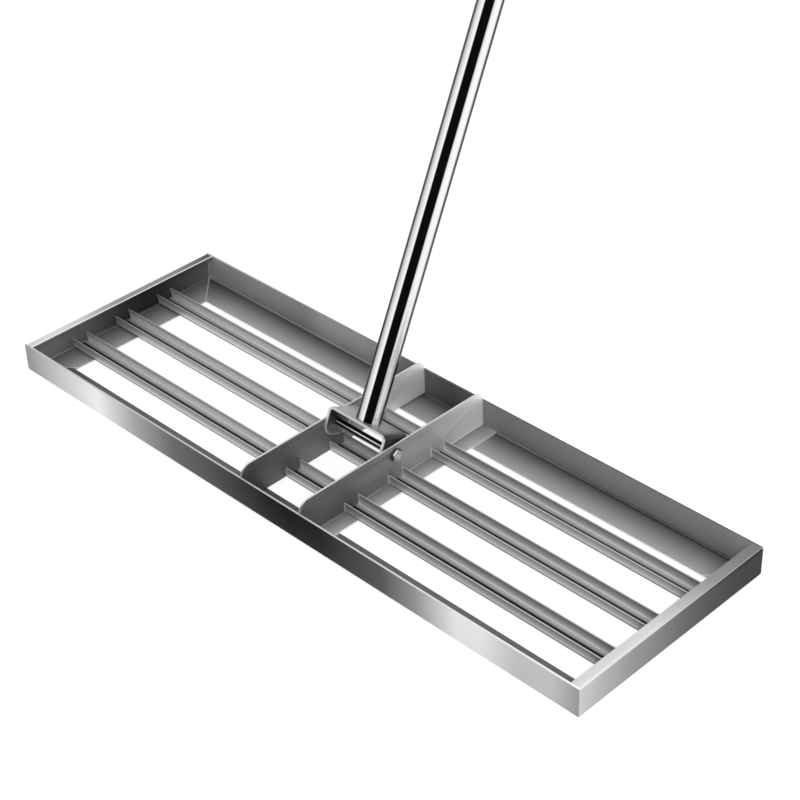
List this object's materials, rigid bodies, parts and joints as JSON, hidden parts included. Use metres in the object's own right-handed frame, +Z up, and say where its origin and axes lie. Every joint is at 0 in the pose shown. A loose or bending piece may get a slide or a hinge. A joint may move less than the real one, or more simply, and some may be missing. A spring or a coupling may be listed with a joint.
{
  "type": "lawn leveling rake",
  "caption": "Lawn leveling rake: a welded sheet steel drag frame with channel slats, worked to and fro by a long sectional pole on a tilting yoke.",
  "frame": {"origin": "on the ground under the middle of the frame, below the pivot bolt", "axes": "+X along the frame's length, +Y from the near rail to the far rail that the pole leans over, +Z up from the ground"},
  "size_m": [0.76, 0.918, 1.7112],
  "materials": {
    "frame_steel": "satin stainless sheet",
    "slat_steel": "satin stainless sheet",
    "plate_steel": "satin stainless sheet",
    "yoke_steel": "polished stainless strip",
    "bolt_steel": "plain machined steel",
    "pole_steel": "mirror polished stainless tube",
    "joint_metal": "turned",
    "grip_rubber": "matt, ringed",
    "cap_plastic": "fine grained"
  },
  "bodies": {
    "frame": {"near_rail": "frame_steel", "far_rail": "frame_steel", "left_end_rail": "frame_steel", "right_end_rail": "frame_steel", "near_slat": "slat_steel", "middle_slat": "slat_steel", "far_slat": "slat_steel", "left_cross_plate": "plate_steel", "right_cross_plate": "plate_steel", "pivot_bolt": "bolt_steel", "pivot_nut": "bolt_steel"},
    "handle": {"handle_yoke": "yoke_steel", "lower_tube": "pole_steel", "second_tube": "pole_steel", "third_tube": "pole_steel", "top_tube": "pole_steel", "first_joint_screw": "joint_metal", "second_joint_screw": "joint_metal", "third_joint_screw": "joint_metal", "first_joint_socket": "joint_metal", "second_joint_socket": "joint_metal", "third_joint_socket": "joint_metal", "hand_grip": "grip_rubber", "end_cap": "cap_plastic"}
  },
  "joints": [
    {"name": "handle_tilt", "type": "hinge", "parent": "frame", "child": "handle", "pos_m": [-0.0007, 0, 0.034], "axis": [-1, 0, 0], "range_deg": [-109, 59]}
  ]
}
